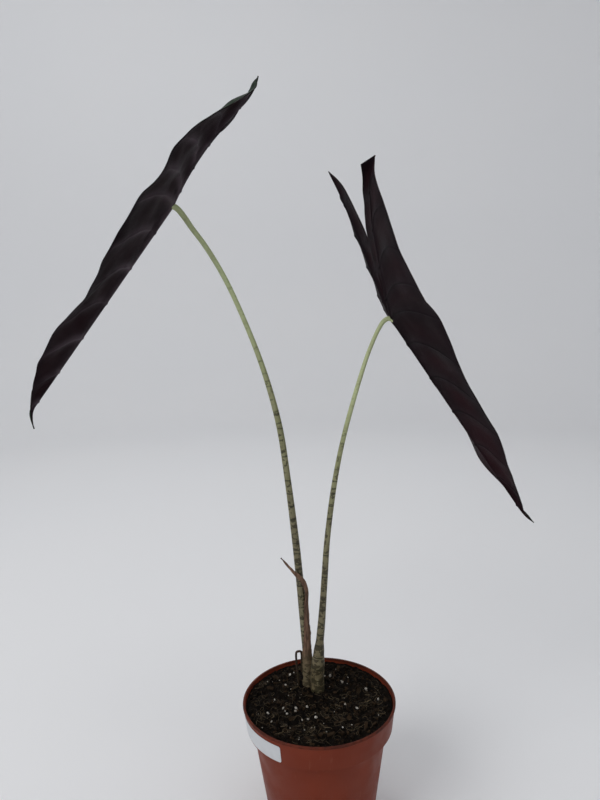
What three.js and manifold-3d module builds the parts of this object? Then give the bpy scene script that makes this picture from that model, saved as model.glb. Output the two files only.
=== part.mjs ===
// Potted alocasia longiloba: two long arrow-shaped leaves on arched stalks in a 12 cm nursery pot.
// Millimetres, +Z up. The origin is the middle of the pot's flat underside, -Y is the front.
import * as THREE from 'three';
import { mergeVertices } from 'three/addons/utils/BufferGeometryUtils.js';
import Module from 'manifold-3d';

const wasm = await Module();
wasm.setup();

// Clearances
const TOUCH_GAP = 0.3; // between pieces that lie on each other
const HOLE_GAP = 0.35; // round a stem in the potting mix

// Pot: thin moulded wall with a stepped-out collar and a thin lip
const POT = {
  height: 105,
  lipRadius: 60,
  lipHeight: 1.6,
  collarTopRadius: 59.4,
  collarFootRadius: 57.2,
  collarHeight: 19,
  bodyTopRadius: 52.9,
  footRadius: 40.1,
  wall: 1.2,
  floor: 1.5,
  padRadius: 26,
  channelOuterRadius: 34,
  channelRise: 2.5,
  channelSlope: 1.2,
  footRound: 1.2,
  drainHoles: 8,
  drainRadius: 2.6,
  drainSides: 12,
  segments: 56,
};

// Potting mix: its surface is a little below the lip and rises to the stems
const MIX = {
  level: 101.8,
  moundRise: 2,
  moundRadius: 26,
  lump: 1.1,
  coarseWave: 21, // crumb sizes, as wave lengths
  fineWave: 9,
  stemCollar: 8, // smooth close to the stems and at the wall
  stemCollarEnd: 18,
  wallBand: 6,
  wallRadius: 57,
  rings: 13,
  segments: 44,
  holeDepth: 22,
  holeSides: 20,
};

// Blank paper label on the collar, angles from the front towards the left
const LABEL = { from: 30, to: 78, bottom: 87.6, top: 100.6, thickness: 0.35, steps: 10 };

// Stalks: centre line from the foot in the mix to just under the blade. radii: share of the length,
// and the radius there.
const STALK_SIDES = 10;
const STALK_STEPS = 40;
const LEFT_STALK = {
  foot: [-7.6, 20.8],
  radii: [
    [0, 3.95], [0.1, 3.95], [0.145, 3.5], [0.3, 2.95], [0.5, 2.45], [0.8, 2.05], [0.93, 2.1], [1, 2.3],
  ],
  route: [
    [-7.8, 20.6, 122], [-9.2, 20, 142], [-12.8, 17.7, 196], [-15.2, 15.9, 229], [-19.8, 13, 278],
    [-25, 10.5, 321], [-35, 7.9, 363], [-47.6, 5.6, 400], [-62, 3.5, 433.5], [-76, 1.9, 457],
    [-84.5, 1.2, 471], [-89.5, 0.8, 478.8],
  ],
};
const RIGHT_STALK = {
  foot: [-0.6, 12.6],
  radii: [
    [0, 5.3], [0.135, 5.3], [0.165, 4.3], [0.2, 3.1], [0.33, 2.55], [0.5, 2.2], [0.7, 1.9], [0.96, 1.6], [1, 2],
  ],
  route: [
    [-0.6, 13, 116], [0.8, 12.8, 133], [4.1, 12.4, 163], [7.2, 12.1, 198], [10, 11.8, 229],
    [16.3, 11.4, 272], [23.2, 11, 305], [31.6, 10.7, 336], [41.8, 10.3, 370], [47.6, 10.2, 383],
    [53, 10.1, 393.6],
  ],
};
const STALK_SOCKET = 3.6; // the straight end that stands square to the blade

// Blade outline, shared by both leaves. Each row is one side vein: where it leaves the rib, then
// the point of the edge that it reaches, forward and sideways. Forward is a share of the blade's
// length in front of the stalk and of the lobe's length behind it, sideways of the half width.
const HALF_WIDTH = 66;
const RIB_SPREAD = 20; // degrees between a rear rib and the blade's axis
const OUTER_EDGE = [
  [1, 1, 0], [0.9, 0.93, 0.04], [0.76, 0.84, 0.21], [0.6, 0.71, 0.43], [0.44, 0.565, 0.61],
  [0.28, 0.41, 0.77], [0.12, 0.25, 0.89], [0, 0.08, 0.965], [-0.12, -0.09, 1], [-0.32, -0.31, 1],
  [-0.54, -0.55, 0.94], [-0.78, -0.8, 0.76], [-1],
];
const INNER_EDGE = [
  [0, 0, 0], [-0.12, -0.12, 0], [-0.32, -0.31, 0], [-0.54, -0.49, 0], [-0.78, -0.77, 0.22], [-1],
];
const FREE_LOBE = 0.56; // share of a rear lobe's length past which it bends on its own
const OUTER_SHARES = [0, 0.07, 0.36, 0.7, 1]; // grid lines between the rib and the edge
const INNER_SHARES = [0, 0.5, 1];
const STEPS_PER_VEIN = 2;
const BLADE_THICKNESS = 0.8;
const RIB_HEIGHT = 1.2; // main ribs stand out below
const QUILT = 1.3; // the blade swells up between two side veins
const HOOK_START = 0.92;
const OWN_BEND_WIDTH = 30; // a lobe's own bend grows over this distance from the axis

// Each leaf: place and direction of the blade, lengths, and the bends of its two halves.
// rise: how far the edge stands above the folded half at each side vein, which makes the waves.
const LEFT_LEAF = {
  joint: [-97.5, 0, 486.7],
  heading: 180,
  dip: 52.5,
  roll: -12,
  blade: 197,
  lobe: 106,
  lift: [22, -29],
  hook: -9,
  front: {
    fold: 9.5, cup: 4, bend: [-3, -1], reach: 1, flare: 8, tuck: 0,
    rise: [0, 0, 4.5, 6.5, 5, -1, 0.5, 3.5, -1.2, 0, -4, -5, 0],
  },
  back: {
    fold: 9.5, cup: 4, bend: [3, 0], reach: 1, flare: 8, tuck: 0,
    rise: [0, -1, 1, 1, 5, 2, 4, 1, 4, 0, 0, -3, 0],
  },
};
const RIGHT_LEAF = {
  joint: [63, 10, 401],
  heading: 0,
  dip: 56.8,
  roll: -7,
  blade: 196,
  lobe: 118,
  lift: [34, 4],
  hook: 3,
  front: {
    fold: 6, cup: 2, bend: [2, 0], reach: 0.77, flare: 6, tuck: -8.5,
    rise: [0, 0, -1, -2, 0, -3, -3, 2, -2, -6, -5, -3, 0],
  },
  back: {
    fold: 11, cup: 2, bend: [2, 0], reach: 1.32, flare: -2, tuck: 0,
    rise: [0, 0, -1, -4, 2, 2, 4, 4, 4, 4, 3, 2, 0],
  },
};

// Dry sheath left by an old leaf: a curled strip up the left stalk that crosses it and ends free.
// Each row: distance from the stalk's axis, direction round it in degrees (-90 is the front),
// height, half width of the strip and how far it is curled.
const SHEATH = {
  thickness: 0.8,
  curlSteps: 4,
  lengthSteps: 27,
  rows: [
    [5.2, -116, 104.6, 3.2, 0.9], [5.1, -112, 116, 3.2, 1], [5, -98, 128, 3.2, 1],
    [4.9, -74, 140, 3, 1], [4.8, -50, 156, 2.9, 1], [5, -30, 172, 2.8, 0.9], [6.2, -30, 186, 2.4, 0.8],
    [5.8, -66, 196, 1.9, 0.6], [7.2, -124, 203, 1.6, 0.5], [10.4, -156, 209.5, 1.4, 0.5],
    [13.6, -166, 214.5, 1.2, 0.5],
  ],
};

// Dry remains of an old stalk: a thin strand that rises from the mix and folds over
const REMNANT = {
  radius: 1.1,
  taper: 0.2,
  sides: 7,
  steps: 22,
  foot: [-16, 20],
  route: [
    [-16.2, 20, 110], [-17.2, 20, 122], [-17.1, 20, 130.5], [-15.1, 20, 134], [-13.2, 20, 131],
    [-13.2, 20, 124],
  ],
};

const COLOURS = {
  pot: 0x84412f, mix: 0x1d1915, label: 0xd6dcdc, stalk: 0x8a9266, blade: 0x2a2228, sheath: 0x7a563f,
  remnant: 0x5a4434,
};

// Small maths
const radians = THREE.MathUtils.degToRad;
const smooth = (x) => THREE.MathUtils.smoothstep(x, 0, 1);

function along(values, x) {
  // Value at row x of a list, straight between rows.
  const i = Math.min(Math.floor(x), values.length - 2);
  return THREE.MathUtils.lerp(values[i], values[i + 1], x - i);
}

function smoothCurve(points) {
  return new THREE.CatmullRomCurve3(points, false, 'catmullrom', 0.5);
}

function smoothValues(values) {
  // Value at row x of a list, on a smooth curve through the rows.
  const curve = smoothCurve(values.map((value) => new THREE.Vector3(value, 0, 0)));
  return (x) => curve.getPoint(x / (values.length - 1)).x;
}

// Geometry: closed bodies from grids and from three.js shapes
function closedGeometry(geometry) {
  geometry.deleteAttribute('normal');
  geometry.deleteAttribute('uv');
  return mergeVertices(geometry, 1e-4);
}

function geometryFromFaces(positions, faces) {
  const geometry = new THREE.BufferGeometry();
  geometry.setAttribute('position', new THREE.Float32BufferAttribute(positions.flat(), 3));
  geometry.setIndex(faces.flat());
  return geometry;
}

function toSolid(geometry) {
  const merged = closedGeometry(geometry);
  const vertProperties = new Float32Array(merged.attributes.position.array);
  const triVerts = new Uint32Array(merged.index.array);
  return new wasm.Manifold(new wasm.Mesh({ numProp: 3, vertProperties, triVerts }));
}

function toGeometry(solid) {
  const { vertProperties, triVerts } = solid.getMesh();
  const geometry = new THREE.BufferGeometry();
  geometry.setAttribute('position', new THREE.BufferAttribute(new Float32Array(vertProperties), 3));
  geometry.setIndex(new THREE.BufferAttribute(new Uint32Array(triVerts), 1));
  return geometry;
}

function turned(profile, segments) {
  // Solid of revolution about Z from [radius, height] pairs that start and end on the axis.
  const points = profile.map(([radius, height]) => new THREE.Vector2(radius, height));
  return new THREE.LatheGeometry(points, segments).rotateX(Math.PI / 2);
}

function uprightCylinder(x, y, bottom, top, radius, sides) {
  const cylinder = new THREE.CylinderGeometry(radius, radius, top - bottom, sides);
  return cylinder.rotateX(Math.PI / 2).translate(x, y, (top + bottom) / 2);
}

function bentRod(curve, radiusAt, sides, steps) {
  // A cylinder bent along a curve, with its own radius at each share of the length.
  const frames = curve.computeFrenetFrames(steps);
  const rod = new THREE.CylinderGeometry(1, 1, 1, sides, steps);
  const position = rod.attributes.position;
  for (let i = 0; i < position.count; i += 1) {
    const share = position.getY(i) + 0.5;
    const step = Math.round(share * steps);
    const radius = radiusAt(share);
    const point = curve.getPointAt(share);
    point.addScaledVector(frames.normals[step], radius * position.getZ(i));
    point.addScaledVector(frames.binormals[step], radius * position.getX(i));
    position.setXYZ(i, point.x, point.y, point.z);
  }
  return closedGeometry(rod);
}

// Pot
function potOutside() {
  const { height, collarHeight, channelRise, padRadius, channelOuterRadius, channelSlope } = POT;
  const collarFoot = height - collarHeight;
  return [
    [0, 0], [padRadius, 0], [padRadius + channelSlope, channelRise],
    [channelOuterRadius - channelSlope, channelRise], [channelOuterRadius, 0],
    [POT.footRadius - POT.footRound, 0], [POT.footRadius, POT.footRound],
    [POT.bodyTopRadius, collarFoot + 1], [POT.collarFootRadius, collarFoot],
    [POT.collarTopRadius, height - POT.lipHeight], [POT.lipRadius, height - POT.lipHeight],
    [POT.lipRadius, height],
  ];
}

function potInside(clear) {
  // The pot's inner line from the middle of its floor up to the collar, moved in by clear.
  const { height, collarHeight, channelRise, padRadius, channelOuterRadius, channelSlope, wall } = POT;
  const floor = POT.floor + clear;
  const inset = wall + clear;
  const shelf = height - collarHeight + wall + clear + 1;
  return [
    [0, floor], [padRadius - inset, floor],
    [padRadius + channelSlope - inset, channelRise + floor],
    [channelOuterRadius - channelSlope + inset, channelRise + floor],
    [channelOuterRadius + inset, floor], [POT.footRadius - inset - POT.footRound / 2, floor],
    [POT.footRadius - inset + POT.footRound / 2, floor + POT.footRound],
    [POT.bodyTopRadius - inset, shelf], [POT.collarFootRadius - inset, shelf],
    [POT.collarTopRadius - inset, height - POT.lipHeight],
  ];
}

function nurseryPot() {
  const inside = potInside(0);
  const rim = [POT.collarTopRadius - POT.wall, POT.height];
  const profile = [...potOutside(), rim, ...inside.reverse()];
  let pot = toSolid(turned(profile, POT.segments));
  const drainCircle = (POT.padRadius + POT.channelOuterRadius) / 2;
  for (let i = 0; i < POT.drainHoles; i += 1) {
    const angle = ((i + 0.5) * 2 * Math.PI) / POT.drainHoles;
    const [x, y] = [drainCircle * Math.cos(angle), drainCircle * Math.sin(angle)];
    const top = 3 * POT.channelRise;
    const drain = uprightCylinder(x, y, -POT.channelRise, top, POT.drainRadius, POT.drainSides);
    pot = pot.subtract(toSolid(drain));
  }
  return toGeometry(pot);
}

// Potting mix
function mixSurface(x, y) {
  // Height of the mix: a low mound round the stems, with crumbs and hollows as waves.
  const [stemX, stemY] = LEFT_STALK.foot;
  const [otherX, otherY] = RIGHT_STALK.foot;
  const fromStems = Math.hypot(x - (stemX + otherX) / 2, y - (stemY + otherY) / 2);
  const mound = MIX.moundRise * Math.exp(-((fromStems / MIX.moundRadius) ** 2));
  const coarse = (2 * Math.PI) / MIX.coarseWave;
  const fine = (2 * Math.PI) / MIX.fineWave;
  const humps = Math.sin(coarse * x + 1.3) * Math.cos(coarse * y - 0.4);
  const crumbs = Math.sin(fine * (0.8 * x - 0.6 * y) + 2) * Math.sin(fine * (0.6 * x + 0.8 * y));
  const nearStems = smooth((fromStems - MIX.stemCollar) / (MIX.stemCollarEnd - MIX.stemCollar));
  const nearWall = smooth((MIX.wallRadius - Math.hypot(x, y)) / MIX.wallBand);
  return MIX.level + mound + MIX.lump * nearStems * nearWall * (0.7 * humps + crumbs);
}

function pottingMix() {
  const wall = potInside(TOUCH_GAP);
  const [lastRadius, lastHeight] = wall.pop();
  const [shelfRadius, shelfHeight] = wall[wall.length - 1];
  const share = (MIX.level - shelfHeight) / (lastHeight - shelfHeight);
  const edgeRadius = shelfRadius + share * (lastRadius - shelfRadius);
  const rings = Array.from({ length: MIX.rings + 1 }, (_, i) => 1 - i / MIX.rings);
  const profile = [...wall, ...rings.map((part) => [part * edgeRadius, MIX.level])];
  const geometry = turned(profile, MIX.segments);
  const position = geometry.attributes.position;
  for (let i = 0; i < position.count; i += 1) {
    if (Math.abs(position.getZ(i) - MIX.level) < 1e-3) {
      position.setZ(i, mixSurface(position.getX(i), position.getY(i)));
    }
  }
  let mix = toSolid(geometry);
  const bottom = MIX.level - MIX.holeDepth - TOUCH_GAP;
  const feet = [
    [...LEFT_STALK.foot, LEFT_STALK.radii[0][1]],
    [...RIGHT_STALK.foot, RIGHT_STALK.radii[0][1]],
    [...REMNANT.foot, REMNANT.radius],
  ];
  for (const [x, y, radius] of feet) {
    mix = mix.subtract(toSolid(uprightCylinder(x, y, bottom, POT.height, radius + HOLE_GAP, MIX.holeSides)));
  }
  return toGeometry(mix);
}

// Stalks and the dry remnant
function bladeFrame(leaf) {
  // Forward along the midrib, sideways, and up out of the blade's upper face.
  const [heading, dip, roll] = [leaf.heading, leaf.dip, leaf.roll].map(radians);
  const level = new THREE.Vector3(Math.cos(heading), Math.sin(heading), 0);
  const upward = new THREE.Vector3(0, 0, 1);
  const forward = level.clone().multiplyScalar(Math.cos(dip)).addScaledVector(upward, -Math.sin(dip));
  const up = level.clone().multiplyScalar(Math.sin(dip)).addScaledVector(upward, Math.cos(dip));
  const side = up.clone().cross(forward);
  side.applyAxisAngle(forward, roll);
  up.applyAxisAngle(forward, roll);
  return { forward, side, up };
}

function footPoints([x, y]) {
  // Straight down the hole in the mix: its bottom, its middle and just above the surface.
  const bottom = MIX.level - MIX.holeDepth;
  return [0, 0.55, 1.1].map((part) => new THREE.Vector3(x, y, bottom + part * MIX.holeDepth));
}

function stalk(spec, leaf) {
  const joint = new THREE.Vector3(...leaf.joint);
  const { up } = bladeFrame(leaf);
  const below = BLADE_THICKNESS / 2 + RIB_HEIGHT + TOUCH_GAP;
  const points = footPoints(spec.foot);
  points.push(...spec.route.map((point) => new THREE.Vector3(...point)));
  points.push(joint.clone().addScaledVector(up, -below - STALK_SOCKET));
  points.push(joint.clone().addScaledVector(up, -below));
  const radiusAt = (share) => {
    const next = Math.max(1, spec.radii.findIndex(([at]) => at >= share));
    const [[from, start], [to, end]] = [spec.radii[next - 1], spec.radii[next]];
    return THREE.MathUtils.lerp(start, end, smooth((share - from) / (to - from)));
  };
  return bentRod(new THREE.CatmullRomCurve3(points), radiusAt, STALK_SIDES, STALK_STEPS);
}

function stalkRemnant() {
  const route = REMNANT.route.map((point) => new THREE.Vector3(...point));
  const points = [...footPoints(REMNANT.foot), ...route];
  const taper = (share) => REMNANT.radius * (1 - REMNANT.taper * share);
  return bentRod(new THREE.CatmullRomCurve3(points), taper, REMNANT.sides, REMNANT.steps);
}

// Blade
function edgePoints(rows, leaf) {
  const spread = radians(RIB_SPREAD);
  const tip = new THREE.Vector3(-leaf.lobe * Math.cos(spread), leaf.lobe * Math.sin(spread), 0);
  return rows.map(([, forward, sideways]) => {
    if (forward === undefined) return tip;
    const length = forward >= 0 ? leaf.blade : leaf.lobe;
    return new THREE.Vector3(forward * length, sideways * HALF_WIDTH, 0);
  });
}

function flatPoint(leaf, rows, edge, row, share) {
  // Place on the flat blade, between the rib (share 0) and the edge (share 1).
  const spread = radians(RIB_SPREAD);
  const station = along(rows.map(([at]) => at), row);
  const distance = station * (station >= 0 ? leaf.blade : leaf.lobe);
  const rib = station >= 0
    ? new THREE.Vector3(distance, 0, 0)
    : new THREE.Vector3(distance * Math.cos(spread), -distance * Math.sin(spread), 0);
  const end = edge.getPoint(row / (rows.length - 1));
  end.y = Math.max(end.y, 0);
  const point = rib.clone().lerp(end, share);
  return { forward: point.x, sideways: point.y, fromRib: rib.distanceTo(point), station };
}

function bladeHeight(leaf, half, panel, place, row, share, riseAt) {
  const { forward, sideways, fromRib } = place;
  const fold = panel === 'outer' ? half.fold : half.cup;
  let height = Math.tan(radians(fold)) * fromRib;
  if (panel === 'outer') height += riseAt(row) * share ** 2;
  height += QUILT * Math.sin(Math.PI * row) ** 2 * Math.sin(Math.PI * share);
  const back = Math.max(-forward, 0) / leaf.lobe;
  const own = smooth(sideways / OWN_BEND_WIDTH);
  height += (leaf.lift[0] + own * half.bend[0]) * back;
  height += (leaf.lift[1] + own * half.bend[1]) * back ** 2;
  height += half.flare * Math.max((back - 0.75) / 0.2, 0) ** 2;
  if (panel === 'inner') height += half.tuck * Math.max((back - 0.7) / 0.2, 0) ** 2 * share;
  height += leaf.hook * Math.max((forward / leaf.blade - HOOK_START) / (1 - HOOK_START), 0) ** 2;
  return height;
}

function bladeSkin(leaf) {
  // The blade's middle surface: shared points, and faces that look up out of the upper side.
  const { forward, side, up } = bladeFrame(leaf);
  const joint = new THREE.Vector3(...leaf.joint);
  const points = [];
  const ribs = [];
  const faces = [];
  const known = new Map();
  const addPoint = (point, rib) => {
    const key = point.toArray().map((value) => Math.round(value * 1e3)).join(',');
    if (!known.has(key)) {
      known.set(key, points.length);
      points.push(point);
      ribs.push(rib);
    }
    return known.get(key);
  };
  const addFace = (face, flip) => {
    if (new Set(face).size === 3) faces.push(flip ? [face[0], face[2], face[1]] : face);
  };
  const panels = [['outer', OUTER_EDGE, OUTER_SHARES], ['inner', INNER_EDGE, INNER_SHARES]];
  for (const name of ['front', 'back']) {
    const half = leaf[name];
    const sign = (name === 'front') === (leaf.heading > 90) ? 1 : -1;
    const riseAt = smoothValues(half.rise);
    for (const [panel, rows, shares] of panels) {
      const edge = smoothCurve(edgePoints(rows, leaf));
      const count = (rows.length - 1) * STEPS_PER_VEIN;
      const grid = [];
      for (let i = 0; i <= count; i += 1) {
        const row = i / STEPS_PER_VEIN;
        grid.push(shares.map((share) => {
          const place = flatPoint(leaf, rows, edge, row, share);
          const height = bladeHeight(leaf, half, panel, place, row, share, riseAt);
          const free = FREE_LOBE * leaf.lobe;
          const reach = place.forward < -free ? free + (-place.forward - free) * half.reach : 0;
          const point = joint.clone().addScaledVector(forward, reach > 0 ? -reach : place.forward);
          point.addScaledVector(side, sign * place.sideways).addScaledVector(up, height);
          const rib = share === 0 ? RIB_HEIGHT * Math.sqrt(1 - Math.abs(place.station)) : 0;
          return addPoint(point, rib);
        }));
      }
      const flip = (sign > 0) === (panel === 'outer');
      for (let i = 0; i < count; i += 1) {
        for (let j = 0; j < shares.length - 1; j += 1) {
          const [a, b, c, d] = [grid[i][j], grid[i][j + 1], grid[i + 1][j + 1], grid[i + 1][j]];
          addFace([a, b, c], !flip);
          addFace([a, c, d], !flip);
        }
      }
    }
  }
  return { points, ribs, faces };
}

function blade(leaf) {
  // Both faces of the skin, split into triangles alike, and a band round the edge.
  const { points, ribs, faces } = bladeSkin(leaf);
  const normals = points.map(() => new THREE.Vector3());
  for (const [a, b, c] of faces) {
    const first = points[b].clone().sub(points[a]);
    const normal = first.cross(points[c].clone().sub(points[a]));
    for (const corner of [a, b, c]) normals[corner].add(normal);
  }
  normals.forEach((normal) => normal.normalize());
  const shifted = (offsetAt) => points.map((point, i) => (
    point.clone().addScaledVector(normals[i], offsetAt(i)).toArray()));
  const positions = [
    ...shifted(() => BLADE_THICKNESS / 2), ...shifted((i) => -BLADE_THICKNESS / 2 - ribs[i]),
  ];
  const count = points.length;
  const solid = faces.flatMap(([a, b, c]) => [[a, b, c], [c + count, b + count, a + count]]);
  const edges = new Map();
  for (const [a, b, c] of faces) {
    for (const [from, to] of [[a, b], [b, c], [c, a]]) {
      if (edges.has(`${to},${from}`)) edges.delete(`${to},${from}`);
      else edges.set(`${from},${to}`, [from, to]);
    }
  }
  for (const [from, to] of edges.values()) {
    solid.push([to, from, from + count], [to, from + count, to + count]);
  }
  return geometryFromFaces(positions, solid);
}

// Dry sheath
function drySheath() {
  const route = LEFT_STALK.route.map((point) => new THREE.Vector3(...point));
  const axis = new THREE.CatmullRomCurve3([...footPoints(LEFT_STALK.foot), ...route]).getPoints(300);
  const axisAt = (z) => axis.reduce((best, p) => (Math.abs(p.z - z) < Math.abs(best.z - z) ? p : best));
  const columns = [0, 1, 2, 3, 4].map((i) => smoothValues(SHEATH.rows.map((row) => row[i])));
  const rings = [];
  for (let i = 0; i <= SHEATH.lengthSteps; i += 1) {
    const row = (i / SHEATH.lengthSteps) * (SHEATH.rows.length - 1);
    const [distance, direction, height, halfWidth, curl] = columns.map((value) => value(row));
    const outward = new THREE.Vector3(Math.cos(radians(direction)), Math.sin(radians(direction)), 0);
    const { x, y } = axisAt(height);
    const middle = new THREE.Vector3(x, y, height).addScaledVector(outward, distance);
    rings.push({ middle, outward, halfWidth, curl });
  }
  const positions = [];
  rings.forEach(({ middle, outward, halfWidth, curl }, i) => {
    const before = rings[Math.max(i - 1, 0)].middle;
    const after = rings[Math.min(i + 1, rings.length - 1)].middle;
    const path = after.clone().sub(before).normalize();
    const across = path.clone().cross(outward).normalize();
    const out = across.clone().cross(path);
    for (const face of [1, -1]) {
      for (let j = 0; j <= SHEATH.curlSteps; j += 1) {
        const part = face * ((2 * j) / SHEATH.curlSteps - 1);
        const sink = -0.5 * curl * halfWidth * part ** 2;
        const point = middle.clone().addScaledVector(across, part * halfWidth);
        point.addScaledVector(out, sink + (face * SHEATH.thickness) / 2);
        positions.push(point.toArray());
      }
    }
  });
  const size = 2 * (SHEATH.curlSteps + 1);
  const faces = [];
  for (let i = 0; i < SHEATH.lengthSteps; i += 1) {
    for (let j = 0; j < size; j += 1) {
      const [a, b] = [i * size + j, i * size + ((j + 1) % size)];
      faces.push([a, b, b + size], [a, b + size, a + size]);
    }
  }
  const last = SHEATH.lengthSteps * size;
  for (let j = 0; j < SHEATH.curlSteps; j += 1) {
    const [a, b, c, d] = [j, j + 1, size - 2 - j, size - 1 - j];
    faces.push([a, c, b], [a, d, c], [last + a, last + b, last + c], [last + a, last + c, last + d]);
  }
  return geometryFromFaces(positions, faces);
}

// Label
function blankLabel() {
  const slope = (POT.collarTopRadius - POT.collarFootRadius)
    / (POT.collarHeight - POT.lipHeight);
  const label = new THREE.BoxGeometry(1, 1, 1, LABEL.steps, 1, 1);
  const position = label.attributes.position;
  for (let i = 0; i < position.count; i += 1) {
    const angle = radians(THREE.MathUtils.lerp(LABEL.to, LABEL.from, position.getX(i) + 0.5));
    const height = THREE.MathUtils.lerp(LABEL.bottom, LABEL.top, position.getZ(i) + 0.5);
    const collar = POT.collarFootRadius + slope * (height - POT.height + POT.collarHeight);
    const outer = position.getY(i) < 0 ? LABEL.thickness : 0;
    const radius = collar + TOUCH_GAP + outer;
    position.setXYZ(i, -radius * Math.sin(angle), -radius * Math.cos(angle), height);
  }
  return closedGeometry(label);
}

// Assembly
function piece(name, geometry, color, roughness) {
  const material = new THREE.MeshStandardMaterial({ color, roughness, metalness: 0 });
  const mesh = new THREE.Mesh(geometry, material);
  mesh.name = name;
  return mesh;
}

const plant = new THREE.Group();
plant.add(
  piece('nursery_pot', nurseryPot(), COLOURS.pot, 0.45),
  piece('potting_mix', pottingMix(), COLOURS.mix, 0.95),
  piece('petiole_left', stalk(LEFT_STALK, LEFT_LEAF), COLOURS.stalk, 0.5),
  piece('petiole_right', stalk(RIGHT_STALK, RIGHT_LEAF), COLOURS.stalk, 0.5),
  piece('blade_left', blade(LEFT_LEAF), COLOURS.blade, 0.4),
  piece('blade_right', blade(RIGHT_LEAF), COLOURS.blade, 0.4),
  piece('dry_sheath', drySheath(), COLOURS.sheath, 0.8),
  piece('stalk_remnant', stalkRemnant(), COLOURS.remnant, 0.85),
  piece('blank_label', blankLabel(), COLOURS.label, 0.6),
);

export default plant;
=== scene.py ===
"""Potted alocasia longiloba: dark arrow-shaped leaves on arched stalks in a 12 cm nursery pot.

Sizes are real millimetres and become metres through MM. -Y is the front, +Z is up.
"""
import math
import random

import bpy
import numpy as np
from mathutils import Matrix, Vector, noise


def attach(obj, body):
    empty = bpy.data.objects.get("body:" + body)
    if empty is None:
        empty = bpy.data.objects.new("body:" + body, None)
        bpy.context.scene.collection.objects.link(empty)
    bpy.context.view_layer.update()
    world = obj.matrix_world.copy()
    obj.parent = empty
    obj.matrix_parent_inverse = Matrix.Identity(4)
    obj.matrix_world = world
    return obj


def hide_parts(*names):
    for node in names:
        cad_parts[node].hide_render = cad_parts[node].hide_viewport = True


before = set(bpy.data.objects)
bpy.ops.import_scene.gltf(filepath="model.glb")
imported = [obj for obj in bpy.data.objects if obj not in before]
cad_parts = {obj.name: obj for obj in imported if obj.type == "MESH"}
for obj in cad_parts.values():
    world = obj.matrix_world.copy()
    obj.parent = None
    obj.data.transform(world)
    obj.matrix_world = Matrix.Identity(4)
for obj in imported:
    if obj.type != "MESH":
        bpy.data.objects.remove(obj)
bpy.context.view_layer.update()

MM = 0.001

# Camera: a phone's main lens, a little above the leaves' middle and tilted down
CAMERA_PLACE = (-8.4, -449.3, 386.3)
CAMERA_PITCH = 5.67
CAMERA_ROLL = 1.61
CAMERA_LENS = 27.0

# Pot, from the same sizes as its solid
POT_HEIGHT = 105.0
LIP_RADIUS = 60.0
LIP_HEIGHT = 1.6
COLLAR_TOP_RADIUS = 59.4
COLLAR_FOOT_RADIUS = 57.2
COLLAR_FOOT = POT_HEIGHT - 19.0
BODY_TOP_RADIUS = 52.9
FOOT_RADIUS = 40.1
WALL = 1.2
FLOOR = 1.5
PAD_RADIUS = 26.0
CHANNEL_RADIUS = 34.0
CHANNEL_RISE = 2.5
CHANNEL_SLOPE = 1.2
FOOT_ROUND = 1.2
DRAIN_HOLES = 8
DRAIN_RADIUS = 2.6
RIM_ROUND = 0.45
POT_SIDES = 160

# Potting mix
MIX_LEVEL = 101.8
MIX_MOUND = 2.0
MIX_MOUND_RADIUS = 26.0
MIX_LUMP = 1.1
MIX_COARSE_WAVE = 21.0
MIX_FINE_WAVE = 9.0
MIX_DEPTH = 22.0
MIX_CLEARANCE = 0.3
MIX_SIDES = 210
MIX_RINGS = 64
STEM_COLLAR = (8.0, 18.0)
WING_TOP = 134.0
WING_FADE = 22.0
WALL_BAND = (51.0, 57.0)

# Label on the collar, angles from the front towards the left
LABEL_FROM = 30.0
LABEL_TO = 78.0
LABEL_BOTTOM = 87.6
LABEL_TOP = 100.6
LABEL_CORNER = 1.6
LABEL_THICKNESS = 0.25
LABEL_CLEARANCE = 0.096
LABEL_STRIPS = 36

# Stalks: foot in the mix, radius at each share of the length, then the centre line up to the
# blade. The wing is the sheathing flap at the foot: its direction in degrees and its height.
LEFT_STALK = {
    "foot": (-7.6, 20.8),
    "radii": [
        (0, 3.95), (0.1, 3.95), (0.145, 3.5), (0.3, 2.95), (0.5, 2.45), (0.8, 1.85), (0.93, 1.95),
        (1, 2.2),
    ],
    "route": [
        (-7.8, 20.6, 122), (-9.2, 20, 142), (-12.8, 17.7, 196), (-15.2, 15.9, 229), (-19.8, 13, 278),
        (-25, 10.5, 321), (-35, 7.9, 363), (-47.6, 5.6, 400), (-61.6, 3.5, 433.5), (-74.7, 1.9, 457),
        (-84.5, 1.2, 471), (-89.5, 0.8, 478.8),
    ],
    "crown": [(-94.2, 0.3, 484.6), (-97.4, 0, 486.4)],
    "wing": (70, 0.5),
}
RIGHT_STALK = {
    "foot": (-0.6, 12.6),
    "radii": [
        (0, 5.3), (0.135, 5.3), (0.165, 4.3), (0.2, 3.1), (0.33, 2.55), (0.5, 2.2), (0.7, 1.85),
        (0.94, 1.55), (1, 1.9),
    ],
    "route": [
        (-0.6, 13, 116), (0.8, 12.8, 133), (4.1, 12.4, 163), (7.2, 12.1, 198), (10, 11.8, 229),
        (16.3, 11.4, 272), (23.2, 11, 305), (31.8, 10.7, 336), (42.8, 10.3, 370), (48.2, 10.2, 383.5),
        (53.1, 10, 393.6),
    ],
    "crown": [(56.9, 10, 399), (60.3, 10, 400.9), (63.5, 10, 400), (65.6, 10, 398.4)],
    "wing": (130, 1.0),
}
STALK_SIDES = 40
STALK_STEPS = 340
RING_SPACING = 9.6
RINGS_PER_MM = 0.104

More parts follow.
